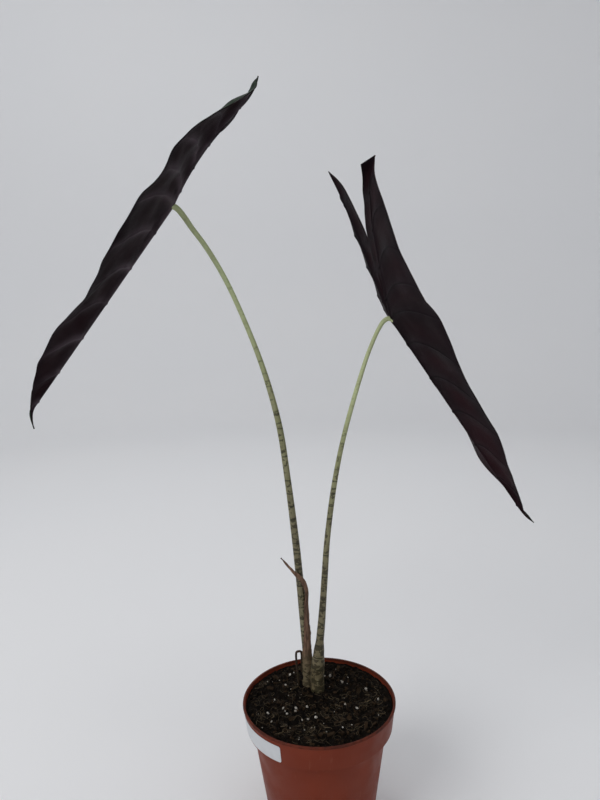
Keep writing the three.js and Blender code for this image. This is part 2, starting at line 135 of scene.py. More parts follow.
# Blade outline, shared by both leaves, with one row for each side vein: where the vein starts on
# the rib (a share of the blade ahead, of the lobe behind), then its end forward and sideways
HALF_WIDTH = 66.0
RIB_SPREAD = 20.0
OUTER_EDGE = [
    (1, 1, 0), (0.9, 0.93, 0.04), (0.76, 0.84, 0.21), (0.6, 0.71, 0.43), (0.44, 0.565, 0.61),
    (0.28, 0.41, 0.77), (0.12, 0.25, 0.89), (0, 0.08, 0.965), (-0.12, -0.09, 1), (-0.32, -0.31, 1),
    (-0.54, -0.55, 0.94), (-0.78, -0.8, 0.76), (-1, None, None),
]
INNER_EDGE = [
    (0, 0, 0), (-0.12, -0.12, 0), (-0.32, -0.31, 0), (-0.54, -0.49, 0), (-0.78, -0.77, 0.22),
    (-1, None, None),
]
FREE_LOBE = 0.56
BLADE_THICKNESS = 0.8
RIB_HEIGHT = 1.2
QUILT = 1.3
VEIN_BOW = 8.0
MARGIN_RIPPLE = 0.16
HOOK_START = 0.92
OWN_BEND_WIDTH = 30.0
STEPS_PER_VEIN = 24
OUTER_STEPS = 32
INNER_STEPS = 10
MERGE_DISTANCE = 2e-6
FAR = 99.0

# Each leaf: where its stalk meets it, how it is turned, its lengths, and how its two halves bend
# One number in each leaf splits its underside's painted light: painted sheen on the ridges and painted shade
# between them, against painted shade along the veins.
LEFT_LEAF = {
    "joint": (-97.5, 0, 486.7), "heading": 180, "dip": 52.5, "roll": -12,
    "blade": 197, "lobe": 106, "lift": (22, -29), "hook": -9,
    "crumple": 1.7, "quilting": 1.35, "painted_sheen_share": 0.9, "low_maroon": 0.1,
    "front": {
        "fold": 9.5, "cup": 4, "bend": (-3, -1), "reach": 1, "flare": 8, "tuck": 0,
        "rise": (0, 0, 4.5, 6.5, 5, -1, 0.5, 3.5, -1.2, 0, -4, -5, 0),
    },
    "back": {
        "fold": 9.5, "cup": 4, "bend": (3, 0), "reach": 1, "flare": 8, "tuck": 0,
        "rise": (0, -1, 1, 1, 5, 2, 4, 1, 4, 0, 0, -3, 0),
    },
}
RIGHT_LEAF = {
    "joint": (63, 10, 401), "heading": 0, "dip": 56.8, "roll": -7,
    "blade": 196, "lobe": 118, "lift": (34, 4), "hook": 3,
    "crumple": 0.5, "quilting": 1.0, "painted_sheen_share": 0.12, "low_maroon": 0.6,
    "front": {
        "fold": 6, "cup": 2, "bend": (2, 0), "reach": 0.77, "flare": 6, "tuck": -8.5,
        "rise": (0, 0, -1, -2, 0, -3, -3, 2, -2, -6, -5, -3, 0),
    },
    "back": {
        "fold": 11, "cup": 2, "bend": (2, 0), "reach": 1.32, "flare": -2, "tuck": 0,
        "rise": (0, 0, -1, -4, 2, 2, 4, 4, 4, 4, 3, 2, 0),
    },
}

# Dry sheath on the left stalk, each row: distance from the stalk's axis, direction in degrees
# (-90 is the front), height, half width and curl
SHEATH_ROWS = [
    (5.0, -116, 104.0, 4.4, 1.1), (4.9, -112, 116, 4.2, 1.1), (4.9, -98, 128, 3.9, 1),
    (4.9, -74, 140, 3.4, 1), (4.8, -50, 156, 3.0, 1), (5, -30, 172, 2.9, 0.9),
    (6.2, -30, 186, 2.5, 0.8), (5.8, -66, 196, 1.9, 0.6), (7.2, -124, 203, 1.6, 0.5),
    (10.4, -156, 209.5, 1.4, 0.5), (13.6, -166, 214.5, 1.2, 0.5),
]
SHEATH_THICKNESS = 0.5
SHEATH_STEPS = 150
SHEATH_ACROSS = 18

# Folded dry strand beside the stalks
REMNANT_FOOT = (-16.0, 20.0)
REMNANT_ROUTE = [
    (-16.2, 20, 110), (-17.3, 20, 122), (-17.5, 20, 130), (-16.9, 20, 132.3), (-13.7, 20, 132.6),
    (-13.1, 20, 130), (-13.1, 20, 122), (-12.4, 20, 113),
]
REMNANT_DEPTH = 12.0
REMNANT_HALF_WIDTHS = (1.2, 0.85)

# What lies on the mix. Sizes are radii unless they say otherwise, and a reach is the farthest
# distance from the pot's axis.
CRUMB_COUNT = 1600
CRUMB_SIZES = (0.45, 1.75)
CRUMB_REACH = 57.2
CHIP_COUNT = 90
CHIP_SIZES = (1.3, 3.2)
CHIP_REACH = 54.5
GRAIN_SIZES = (0.85, 1.6)
SMALL_GRAIN_COUNT = 50
SMALL_GRAIN_SIZES = (0.3, 0.75)
SMALL_GRAIN_REACH = 54.0
FIBRE_COUNT = 520
FIBRE_LENGTHS = (5, 13)
FIBRE_RADII = (0.10, 0.2)
FIBRE_REACH = 52.5
TUFT_SHARE = 0.28
TUFT_SPREAD = (4.2, 3.8)
GRAIN_PLACES = [
    (-28.2, -10.1), (-27.2, -12.6), (-25.0, -15.2), (-18.1, -9.3), (-18.6, -13.2), (-9.6, -12.2),
    (-13.6, -25.5), (-9.1, -25.7), (-9.6, -23.9), (10.3, 29.5), (19.3, 26.1), (20.3, 23.4), (32.0, 11.1),
    (23.5, -29.5), (-23.4, 35.8), (25.6, 31.8), (20.1, -7.2), (28.9, -12.7), (38.6, 12.2), (-36.9, -24.5),
    (-3.0, -23.6), (5.6, 33.2), (-26.5, 21.1), (-39.6, -15.8), (46.7, -0.5), (-35.5, 2.1),
]
TUFT_PLACES = [
    (-25.5, -32.8), (4.0, -17.8), (-45.9, -20.4), (-42.5, 28.2), (36.9, -4.3), (12.8, -27.8), (-8, -38),
]
STRAND_ENDS = [((35.9, -5.3), (46.7, -0.5)), ((-0.3, -30.8), (9.0, -36.9))]

# Studio, in metres
FLOOR_RADIUS = 2.2
BEND_RADIUS = 1.2
BEND_STEPS = 12
WALL_HEIGHT = 1.6


# Small maths
def smooth(x):
    x = np.clip(x, 0.0, 1.0)
    return x * x * (3.0 - 2.0 * x)


def through(rows, x):
    """Values at rows x of a list, on a smooth curve through the rows."""
    table = np.array(rows, dtype=float)
    if table.ndim == 1:
        table = table[:, None]
    table = np.vstack([2 * table[0] - table[1], table, 2 * table[-1] - table[-2]])
    x = np.asarray(x, dtype=float)
    i = np.clip(np.floor(x).astype(int), 0, len(rows) - 2)
    f = (x - i)[..., None]
    a, b, c, d = (table[i + k] for k in range(4))
    value = 2 * b + (c - a) * f + (2 * a - 5 * b + 4 * c - d) * f**2 + (3 * b - a - 3 * c + d) * f**3
    return 0.5 * value


# Object and mesh helpers
def deselect():
    bpy.ops.object.select_all(action="DESELECT")


def activate(obj):
    deselect()
    obj.select_set(True)
    bpy.context.view_layer.objects.active = obj


def edit(obj, select=True):
    activate(obj)
    bpy.ops.object.mode_set(mode="EDIT")
    bpy.ops.mesh.select_all(action="SELECT" if select else "DESELECT")


def leave_edit():
    bpy.ops.object.mode_set(mode="OBJECT")


def named(name):
    obj = bpy.context.object
    obj.name = name
    obj.data.name = name
    return obj


def coordinates(obj):
    places = np.empty(len(obj.data.vertices) * 3)
    obj.data.vertices.foreach_get("co", places)
    return places.reshape(-1, 3)


def set_coordinates(obj, places):
    obj.data.vertices.foreach_set("co", np.ascontiguousarray(places).ravel())
    obj.data.update()


def vertex_normals(obj):
    normals = np.empty(len(obj.data.vertices) * 3)
    obj.data.vertices.foreach_get("normal", normals)
    return normals.reshape(-1, 3)


def store(obj, name, values):
    layer = obj.data.attributes.get(name) or obj.data.attributes.new(name, "FLOAT", "POINT")
    layer.data.foreach_set("value", np.ascontiguousarray(values, dtype=np.float32))


def stored(obj, name):
    values = np.empty(len(obj.data.vertices), dtype=np.float32)
    obj.data.attributes[name].data.foreach_get("value", values)
    return values


def apply_modifier(obj, kind, **settings):
    activate(obj)
    modifier = obj.modifiers.new(kind.title(), kind)
    for key, value in settings.items():
        setattr(modifier, key, value)
    bpy.ops.object.modifier_apply(modifier=modifier.name)


def join(objects, name):
    deselect()
    for obj in objects:
        obj.select_set(True)
    bpy.context.view_layer.objects.active = objects[0]
    if len(objects) > 1:
        bpy.ops.object.join()
    return named(name)


def merge_close(obj, distance=1e-6):
    edit(obj)
    bpy.ops.mesh.remove_doubles(threshold=distance)
    leave_edit()


def flat_grid(name, columns, rows):
    """A grid primitive with the share of its width and height at each vertex."""
    deselect()
    bpy.ops.mesh.primitive_grid_add(x_subdivisions=columns, y_subdivisions=rows, size=1)
    obj = named(name)
    places = coordinates(obj)
    return obj, places[:, 0] + 0.5, places[:, 1] + 0.5


def finish_piece(obj, replaces=(), materials=(), smooth_angle=None):
    for material in materials:
        obj.data.materials.append(material)
    activate(obj)
    if smooth_angle is not None:
        bpy.ops.object.shade_smooth_by_angle(angle=math.radians(smooth_angle))
    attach(obj, "root")
    if replaces:
        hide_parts(*replaces)
    return obj


# Material helpers
EASED = {"interpolation_type": "SMOOTHSTEP"}
TIMES = {"operation": "MULTIPLY"}
TIMES_PLUS = {"operation": "MULTIPLY_ADD"}


def linear(hex_colour):
    """sRGB hex to the linear colour that the shader wants."""
    parts = [int(hex_colour[i:i + 2], 16) / 255 for i in (1, 3, 5)]
    return tuple(p / 12.92 if p <= 0.04045 else ((p + 0.055) / 1.055) ** 2.4 for p in parts) + (1.0,)


def node(tree, kind, *values, out=None, **settings):
    """Adds a node and fills its open inputs in order. Returns its first open output, or the named one.

    A value is a constant, another node's output to link, or None to keep the default.
    """
    made = tree.nodes.new("ShaderNode" + kind)
    for key, value in settings.items():
        setattr(made, key, value)
    for socket, value in zip([socket for socket in made.inputs if socket.enabled], values):
        if isinstance(value, bpy.types.NodeSocket):
            tree.links.new(value, socket)
        elif value is not None:
            socket.default_value = value
    return made.outputs[out] if out else next(socket for socket in made.outputs if socket.enabled)


def new_material(name, roughness, ior, specular=0.5):
    material = bpy.data.materials.new(name)
    material.use_nodes = True
    shader = material.node_tree.nodes["Principled BSDF"]
    shader.inputs["Roughness"].default_value = roughness
    shader.inputs["IOR"].default_value = ior
    shader.inputs["Specular IOR Level"].default_value = specular
    return material, material.node_tree


def dressed(material, tone, relief=None, depth_mm=0.0, rough=None):
    """Links a finish's colour, relief and uneven roughness to its shader."""
    tree = material.node_tree
    shader = tree.nodes["Principled BSDF"]
    tree.links.new(tone, shader.inputs["Base Color"])
    if rough:
        tree.links.new(rough, shader.inputs["Roughness"])
    if relief:
        bump = node(tree, "Bump", 1.0, depth_mm * MM, None, relief)
        tree.links.new(bump, shader.inputs["Normal"])
    return material


def place_on(tree, stretch=(1, 1, 1)):
    """Object coordinates. A pattern runs long on an axis with a small number."""
    return node(tree, "Mapping", node(tree, "TexCoord", out="Object"), None, None, stretch)


def lumps(tree, size_mm, detail, stretch=(1, 1, 1), roughness=0.55):
    """Noise with lumps of about this size."""
    return node(tree, "TexNoise", place_on(tree, stretch), 0.6 / (size_mm * MM), detail, roughness)


def patches(tree, size_mm, detail, low, high, start=0.0, end=1.0):
    """Lumps with soft edges: start where the noise is below low, end where it is above high."""
    return node(tree, "MapRange", lumps(tree, size_mm, detail), low, high, start, end, **EASED)


def cell_lines(tree, size_mm):
    """Fine lines between cells of about this size."""
    net = node(tree, "TexVoronoi", place_on(tree), 1 / (size_mm * MM), out="Distance",
               feature="DISTANCE_TO_EDGE")
    return node(tree, "MapRange", net, 0.0, 0.12, 1.0, 0.0, **EASED)


def painted(tree, tone, colour, *masks):
    """Lays a colour over the tone, as far as the product of the masks goes."""
    share = masks[0]
    for mask in masks[1:]:
        share = node(tree, "Math", share, mask, **TIMES)
    return node(tree, "Mix", share, tone, linear(colour), data_type="RGBA")


# Materials
def blade_under_material():
    # Leaf underside: thin waxy skin over purple-black tissue, so a weak grey sheen on near black.
    # The flesh between the veins is more maroon; painted sheen lies on the ridges and painted shade in the
    # hollows and along the veins.
    material, tree = new_material("leaf_underside_purple", 0.5, 1.42, 0.02)
    maroon, painted_hollow_shade, painted_ridge_sheen, painted_vein_shade = (node(tree, "Attribute", attribute_name=name, out="Fac")
                                     for name in ("maroon", "painted_hollow_shade", "painted_ridge_sheen", "painted_vein_shade"))
    tone = painted(tree, linear("#171114"), "#1d1519", patches(tree, 26, 3, 0.35, 0.65))
    tone = painted(tree, tone, "#2b1318", maroon, patches(tree, 34, 2, 0.3, 0.6, 0.4, 1), 0.8)
    # Painted shade in the hollows between the ridges
    tone = painted(tree, tone, "#120b0e", painted_hollow_shade, 0.6)
    # Painted sheen: a grey highlight laid on the ridges, keel and ribs
    tone = painted(tree, tone, "#574c52", painted_ridge_sheen, patches(tree, 22, 2, 0.4, 0.58, 0.25, 1))
    # Painted shade: dark lines along the side veins and midrib
    tone = painted(tree, tone, "#0a0708", painted_vein_shade, 0.75)
    cells = cell_lines(tree, 2.2)
    tone = painted(tree, tone, "#2f262a", cells, 0.08)
    relief = node(tree, "Math", cells, lumps(tree, 1.2, 2), operation="ADD")
    return dressed(material, tone, relief, 0.05, patches(tree, 14, 3, 0.3, 0.7, 0.44, 0.6))


def blade_upper_material():
    # Leaf upper side: smooth cuticle on near black green, with grey-green main veins, and painted shade on
    # the rear lobes' ends.
    material, tree = new_material("leaf_upper_green", 0.45, 1.45, 0.02)
    tone = painted(tree, linear("#182319"), "#223227", patches(tree, 20, 3, 0.3, 0.7))
    for name, colour, share in (
        ("flush", "#4d6153", 0.4),
        ("vein", "#8f9f8a", 0.9),
        ("ends", "#0f120e", 0.5),
    ):
        tone = painted(tree, tone, colour, node(tree, "Attribute", attribute_name=name, out="Fac"), share)
    edge = node(tree, "Attribute", attribute_name="edge", out="Fac")
    tone = painted(tree, tone, "#3a3835", node(tree, "MapRange", edge, 0.4, 1.4, 1.0, 0.0, **EASED), 0.25)
    relief = node(tree, "Math", cell_lines(tree, 2.6), lumps(tree, 1.5, 2), operation="ADD")
    return dressed(material, tone, relief, -0.07)


def blade_edge_material():
    # Rim of the blade: a thin hard cord, a little browner than either face.
    material, tree = new_material("leaf_margin", 0.5, 1.42, 0.08)
    return dressed(material, painted(tree, linear("#1a1315"), "#2c2122", patches(tree, 12, 2, 0.4, 0.6)))


def stalk_material():
    # Leaf stalk: smooth waxy skin, pale green under the blade, olive and grey lower down. Thin
    # broken rings lie about 1 cm apart, and short flecks and mottles crowd towards the foot.
    material, tree = new_material("leaf_stalk_banded", 0.45, 1.42, 0.4)
    along = node(tree, "Attribute", attribute_name="along", out="Fac")
    height = node(tree, "Attribute", attribute_name="above_mix", out="Fac")
    tone = painted(tree, linear("#6c654c"), "#8b8f67", node(tree, "MapRange", along, 0.3, 0.8, **EASED))
    tone = painted(tree, tone, "#b5be90", node(tree, "MapRange", along, 0.6, 0.84, **EASED))
    tone = painted(tree, tone, "#6c6148", node(tree, "MapRange", height, 12, 60, 1.0, 0.0, **EASED))
    streak = lumps(tree, 2.6, 3, (1, 1, 0.12))
    tone = painted(tree, tone, "#9d9a7a", node(tree, "MapRange", streak, 0.4, 0.75, 0.0, 0.3, **EASED))

    rings = node(tree, "Math", height, RINGS_PER_MM, **TIMES)
    rings = node(tree, "Math", lumps(tree, 40, 1), 1.6, rings, **TIMES_PLUS)
    rings = node(tree, "Math", lumps(tree, 5, 1), 0.22, rings, **TIMES_PLUS)
    from_ring = node(tree, "Math", rings, 0.5, operation="PINGPONG")
    from_ring = node(tree, "Math", from_ring, RING_SPACING, **TIMES)
    ring = node(tree, "MapRange", from_ring, 0.3, 0.8, 1.0, 0.0, **EASED)
    fading = node(tree, "MapRange", along, 0.52, 0.78, 1.0, 0.1, **EASED)

    rarer = node(tree, "Math", height, 0.00052, 0.458, **TIMES_PLUS)
    spots = []
    for size, stretch, roughness, softness in (
        (4.2, (0.8, 0.8, 1.0), 0.5, 0.09),
        (1.9, (0.6, 0.6, 1.0), 0.6, 0.05),
    ):
        spot = node(tree, "Math", lumps(tree, size, 2, stretch, roughness), rarer, operation="SUBTRACT")
        spots.append(node(tree, "MapRange", spot, 0.0, softness, **EASED))
    crowd = node(tree, "MapRange", along, 0.55, 0.8, 1.0, 0.25, **EASED)
    tone = painted(tree, tone, "#4f4935", spots[0], crowd, 0.4)
    tone = painted(tree, tone, "#2a2516", spots[1], crowd, 0.82)
    tone = painted(tree, tone, "#2b2a18", ring, patches(tree, 3.4, 1, 0.36, 0.46), fading, 0.85)
    return dressed(material, tone, lumps(tree, 1.4, 3, (1, 1, 0.15)), 0.12)


def dry_material(name, pale, dark, foot):
    # Dead plant tissue: papery, matt and cracked along its fibres, greyer where it is damp.
    material, tree = new_material(name, 0.78, 1.4, 0.3)
    along = node(tree, "Attribute", attribute_name="along", out="Fac")
    height = node(tree, "Attribute", attribute_name="above_mix", out="Fac")
    grain = lumps(tree, 0.9, 4, (1, 1, 0.12), 0.7)
    tone = painted(tree, linear(dark), pale, node(tree, "MapRange", grain, 0.35, 0.65, **EASED))
    tone = painted(tree, tone, "#33241c", patches(tree, 7, 3, 0.45, 0.7, 0.0, 0.5))
    damp = node(tree, "MapRange", height, 16, 40, 1.0, 0.0, **EASED)
    tone = painted(tree, tone, foot, damp, 0.85)
    fleck = node(tree, "MapRange", lumps(tree, 1.9, 2, (0.6, 0.6, 1.0)), 0.48, 0.56, **EASED)
    tone = painted(tree, tone, "#2a2617", fleck, damp, 0.7)
    tone = painted(tree, tone, "#2a1c16", node(tree, "MapRange", along, 0.9, 1.0, **EASED), 0.6)
    return dressed(material, tone, grain, 0.3)


def pot_material():
    # Injection moulded polypropylene: even dark terracotta pigment, satin, with fine scuffs and
    # soil left on the rim.
    material, tree = new_material("polypropylene_terracotta", 0.5, 1.49, 0.08)
    tone = painted(tree, linear("#70301f"), "#7b3623", patches(tree, 40, 2, 0.35, 0.65))
    scuff = lumps(tree, 1.6, 4, (1, 1, 0.2), 0.65)
    tone = painted(tree, tone, "#96614f", node(tree, "MapRange", scuff, 0.6, 0.75, 0.0, 0.2, **EASED))
    tall = node(tree, "SeparateXYZ", place_on(tree), out="Z")
    rim = node(tree, "MapRange", tall, (POT_HEIGHT - 2.6) * MM, (POT_HEIGHT - 0.6) * MM, **EASED)
    tone = painted(tree, tone, "#3d2019", rim, patches(tree, 5, 4, 0.35, 0.6, 0.45, 0.85))
    return dressed(material, tone, lumps(tree, 0.8, 2), 0.02, patches(tree, 9, 4, 0.3, 0.7, 0.38, 0.54))


def mix_material():
    # Moist peat: near black and matt, each crumb its own brown.
    material, tree = new_material("moist_peat", 0.9, 1.4, 0.1)
    cell = node(tree, "TexVoronoi", place_on(tree), 1 / (2.0 * MM), out="Color")
    tone = painted(tree, linear("#050403"), "#15100c", node(tree, "SeparateColor", cell))
    tone = painted(tree, tone, "#1f1812", patches(tree, 5, 4, 0.5, 0.75, 0.0, 0.5))
    return dressed(material, tone, lumps(tree, 1.1, 5, roughness=0.7), 0.9)


def crumb_material():
    # Loose peat crumbs and bark chips: matt, black to red-brown, split along the grain.
    material, tree = new_material("bark_crumbs", 0.85, 1.4, 0.1)
    tint = node(tree, "Attribute", attribute_name="tint", out="Fac")
    tone = painted(tree, linear("#080605"), "#3d2f21", tint)
    grain = lumps(tree, 0.7, 3)
    tone = painted(tree, tone, "#352a1f", node(tree, "MapRange", grain, 0.45, 0.75, 0.0, 0.4, **EASED))
    return dressed(material, tone, grain, 0.35)


def fibre_material():
    # Coir and peat fibres: fine dry strands, dark brown to straw.
    material, tree = new_material("coir_fibre", 0.75, 1.45, 0.3)
    tint = node(tree, "Attribute", attribute_name="tint", out="Fac")
    tone = painted(tree, linear("#1b140f"), "#6e6049", tint)
    return dressed(material, painted(tree, tone, "#2b251a", patches(tree, 3, 2, 0.4, 0.7, 0.0, 0.6)))


def perlite_material():
    # Expanded perlite: white porous glass with a dusty skin.
    material, tree = new_material("perlite", 0.85, 1.5, 0.4)
    tone = painted(tree, linear("#8a8379"), "#cbc6bd", patches(tree, 1.5, 3, 0.35, 0.7))
    return dressed(material, tone, lumps(tree, 0.5, 3), 0.25)


def label_material():
    # Coated paper label, blank, a little grey with handling.
    material, tree = new_material("coated_paper_label", 0.5, 1.5)
    tone = painted(tree, linear("#c9cccf"), "#aeb1b2", patches(tree, 14, 4, 0.5, 0.8, 0.0, 0.5))
    return dressed(material, tone, lumps(tree, 0.6, 2), 0.01)


def studio_material():
    # Matt painted studio sweep.
    material, tree = new_material("studio_sweep", 0.95, 1.45)
    return dressed(material, painted(tree, linear("#ebecee"), "#eeeeef", lumps(tree, 400, 1)))


# Pot
def raise_rings(name, profile, sides):
    """Extrudes a disc face up through rings of given radius and height, as turned work."""
    deselect()
    radius, height = profile[0]
    bpy.ops.mesh.primitive_circle_add(vertices=sides, radius=radius * MM, fill_type="NGON",
                                      location=(0, 0, height * MM))
    obj = named(name)
    bpy.ops.object.transform_apply(location=True)
    edit(obj)
    for next_radius, next_height in profile[1:]:
        bpy.ops.mesh.extrude_region_move(
            TRANSFORM_OT_translate={"value": (0, 0, (next_height - height) * MM)})
        grow = next_radius / radius
        bpy.ops.transform.resize(value=(grow, grow, 1), center_override=(0, 0, next_height * MM))
        radius, height = next_radius, next_height
    leave_edit()
    return obj


def pot_outside():
    return [
        (PAD_RADIUS, 0), (PAD_RADIUS + CHANNEL_SLOPE, CHANNEL_RISE),
        (CHANNEL_RADIUS - CHANNEL_SLOPE, CHANNEL_RISE), (CHANNEL_RADIUS, 0),
        (FOOT_RADIUS - FOOT_ROUND, 0), (FOOT_RADIUS, FOOT_ROUND),
        (BODY_TOP_RADIUS, COLLAR_FOOT + 1), (COLLAR_FOOT_RADIUS, COLLAR_FOOT),
        (COLLAR_TOP_RADIUS, POT_HEIGHT - LIP_HEIGHT), (LIP_RADIUS, POT_HEIGHT - LIP_HEIGHT),
        (LIP_RADIUS, POT_HEIGHT), (COLLAR_TOP_RADIUS - WALL, POT_HEIGHT),
    ]


def pot_inside(clear):
    inset = WALL + clear
    floor = FLOOR + clear
    shelf = COLLAR_FOOT + WALL + clear + 1
    return [
        (PAD_RADIUS - inset, floor), (PAD_RADIUS + CHANNEL_SLOPE - inset, CHANNEL_RISE + floor),
        (CHANNEL_RADIUS - CHANNEL_SLOPE + inset, CHANNEL_RISE + floor),
        (CHANNEL_RADIUS + inset, floor), (FOOT_RADIUS - inset - FOOT_ROUND / 2, floor),
        (FOOT_RADIUS - inset + FOOT_ROUND / 2, floor + FOOT_ROUND), (BODY_TOP_RADIUS - inset, shelf),
        (COLLAR_FOOT_RADIUS - inset, shelf), (COLLAR_TOP_RADIUS - inset, POT_HEIGHT - LIP_HEIGHT),
    ]


def nursery_pot():
    pot = raise_rings("pot", pot_outside() + pot_inside(0)[::-1], POT_SIDES)
    apply_modifier(pot, "BEVEL", width=RIM_ROUND * MM, segments=3, limit_method="ANGLE",
                   angle_limit=math.radians(25))
    ring = (PAD_RADIUS + CHANNEL_RADIUS) / 2 * MM
    cutters = []
    for i in range(DRAIN_HOLES):
        angle = (i + 0.5) * 2 * math.pi / DRAIN_HOLES
        deselect()
        bpy.ops.mesh.primitive_cylinder_add(
            vertices=24, radius=DRAIN_RADIUS * MM, depth=4 * CHANNEL_RISE * MM,
            location=(ring * math.cos(angle), ring * math.sin(angle), CHANNEL_RISE * MM))
        cutters.append(named("drain"))
    cutter = join(cutters, "drains")
    apply_modifier(pot, "BOOLEAN", operation="DIFFERENCE", object=cutter, solver="EXACT")
    bpy.data.objects.remove(cutter)
    return finish_piece(pot, ["nursery_pot"], [pot_material()], 30)


# Potting mix
def mix_height(x, y):
    """Height of the mix, in millimetres: the solid's mound and waves with fine crumbs on top."""
    stems = (np.array(LEFT_STALK["foot"]) + np.array(RIGHT_STALK["foot"])) / 2
    from_stems = np.hypot(x - stems[0], y - stems[1])
    mound = MIX_MOUND * np.exp(-((from_stems / MIX_MOUND_RADIUS) ** 2))
    coarse = 2 * math.pi / MIX_COARSE_WAVE
    fine = 2 * math.pi / MIX_FINE_WAVE
    humps = np.sin(coarse * x + 1.3) * np.cos(coarse * y - 0.4)
    crumbs = np.sin(fine * (0.8 * x - 0.6 * y) + 2) * np.sin(fine * (0.6 * x + 0.8 * y))
    near_stems = smooth((from_stems - STEM_COLLAR[0]) / (STEM_COLLAR[1] - STEM_COLLAR[0]))
    near_wall = smooth((WALL_BAND[1] - np.hypot(x, y)) / (WALL_BAND[1] - WALL_BAND[0]))
    return MIX_LEVEL + mound + MIX_LUMP * near_stems * near_wall * (0.7 * humps + crumbs)


def mix_fine(x, y):
    """Crumbs and hollows on the millimetre scale."""
    layers = ((1.3, 0.33, 1.7), (0.7, 0.8, 4.1), (0.3, 1.7, 9.2))
    return np.array([
        sum(rise * noise.noise(Vector((a * pace, b * pace, level))) for rise, pace, level in layers)
        for a, b in zip(x, y)])


def ground(x, y):
    return mix_height(x, y) + mix_fine(x, y)


def potting_mix():
    wall = pot_inside(MIX_CLEARANCE)
    shelf_radius, shelf_height = wall[-2]
    top_radius, top_height = wall.pop()
    share = (MIX_LEVEL - shelf_height) / (top_height - shelf_height)
    edge = shelf_radius + share * (top_radius - shelf_radius)
    rings = [(edge * (1 - i / MIX_RINGS), MIX_LEVEL) for i in range(MIX_RINGS)]
    mix = raise_rings("potting_mix_surface", wall + rings, MIX_SIDES)
    places = coordinates(mix) / MM
    top = np.abs(places[:, 2] - MIX_LEVEL) < 1e-3
    x, y = places[top, 0], places[top, 1]
    places[top, 2] = ground(x, y)
    set_coordinates(mix, places * MM)
    return finish_piece(mix, ["potting_mix"], [mix_material()], 180)


def lump_master(name, subdivisions, squash, roughness):
    """One rough grain, 1 mm in radius before it is squashed."""
    deselect()
    bpy.ops.mesh.primitive_ico_sphere_add(subdivisions=subdivisions, radius=1)
    obj = named(name)
    places = coordinates(obj)
    swell = [dice.uniform(1 - roughness, 1 + roughness) for _ in places]
    set_coordinates(obj, places * np.array(swell)[:, None] * squash)
    return obj


def chip_master(name):
    """One splinter of bark, 2 mm long, bevelled and split unevenly."""
    deselect()
    bpy.ops.mesh.primitive_cube_add(size=1)
    obj = named(name)
    edit(obj)
    bpy.ops.transform.resize(value=(2.0, 1.1, 0.4), center_override=(0, 0, 0))
    bpy.ops.mesh.bevel(offset=0.12, segments=1, affect="EDGES")
    bpy.ops.mesh.bisect(plane_co=(0.3, 0, 0), plane_no=(1, 0.3, 0))
    bpy.ops.mesh.select_all(action="SELECT")
    bpy.ops.mesh.bisect(plane_co=(-0.4, 0, 0), plane_no=(1, -0.2, 0))
    leave_edit()
    places = coordinates(obj)
    jitter = np.array([[dice.uniform(-0.1, 0.1) for _ in range(3)] for _ in places])
    taper = 1 - 0.35 * np.abs(places[:, :1])
    set_coordinates(obj, places * np.hstack([np.ones_like(taper), taper, taper]) + jitter)
    return obj


def clear_of_stalks(x, y, room):
    for spec in (LEFT_STALK, RIGHT_STALK):
        if math.dist((x, y), spec["foot"]) < spec["radii"][0][1] + room:
            return False
    return math.dist((x, y), REMNANT_FOOT) > 0.8 + room


def random_spot(reach, room):
    while True:
        distance, angle = reach * math.sqrt(dice.random()), dice.uniform(0, 2 * math.pi)
        x, y = distance * math.cos(angle), distance * math.sin(angle)
        if clear_of_stalks(x, y, room):
            return x, y


def scattered(name, masters, spots, material):
    """Copies a master to each spot (x, y, size, tilt, sink, tint), each copy with its own mesh."""
    copies = []
    heights = ground(*np.array(spots)[:, :2].T)
    for (x, y, size, tilt, sink, tint), height in zip(spots, heights):
        master = dice.choice(masters)
        copy = master.copy()
        copy.data = master.data.copy()
        bpy.context.collection.objects.link(copy)
        turn = Matrix.Identity(3)
        for axis, low, high in (("X", -tilt, tilt), ("Y", -tilt, tilt), ("Z", 0, 2 * math.pi)):
            turn = turn @ Matrix.Rotation(dice.uniform(low, high), 3, axis)
        places = coordinates(copy) @ np.array(turn).T * size
        set_coordinates(copy, (places + (x, y, height + sink * size)) * MM)
        store(copy, "tint", np.full(len(places), tint))
        copies.append(copy)
    for master in masters:
        bpy.data.objects.remove(master)
    return finish_piece(join(copies, name), (), [material])


def mix_crumbs():
    masters = [lump_master("crumb", 1, (1, 0.85, 0.7), 0.28) for _ in range(7)]
    smallest, largest = CRUMB_SIZES
    spots = []
    for _ in range(CRUMB_COUNT):
        size = smallest + (largest - smallest) * dice.random() ** 2.2
        x, y = random_spot(CRUMB_REACH - size * 1.2, size * 0.5)
        spots.append((x, y, size, 3.0, 0.25, 0.75 * dice.random() ** 2))
    return scattered("mix_crumbs", masters, spots, crumb_material_shared)


def bark_chips():
    masters = [chip_master("chip") for _ in range(6)]
    spots = []
    for _ in range(CHIP_COUNT):
        size = dice.uniform(*CHIP_SIZES)
        x, y = random_spot(CHIP_REACH - size, size + 0.5)
        spots.append((x, y, size, 0.55, 0.18, dice.uniform(0.15, 0.75)))
    return scattered("bark_chips", masters, spots, crumb_material_shared)


def perlite_grains():
    masters = [lump_master("grain", 2, (1, 0.75, 0.6), 0.16) for _ in range(6)]
    spots = [(x, y, dice.uniform(*GRAIN_SIZES), 1.0, 0.45, 0.0) for x, y in GRAIN_PLACES]
    for _ in range(SMALL_GRAIN_COUNT):
        size = dice.uniform(*SMALL_GRAIN_SIZES)
        x, y = random_spot(SMALL_GRAIN_REACH, size)
        spots.append((x, y, size, 1.0, 0.5, 0.0))
    piece = scattered("perlite_grains", masters, spots, perlite_material())
    bpy.ops.object.shade_smooth()
    return piece


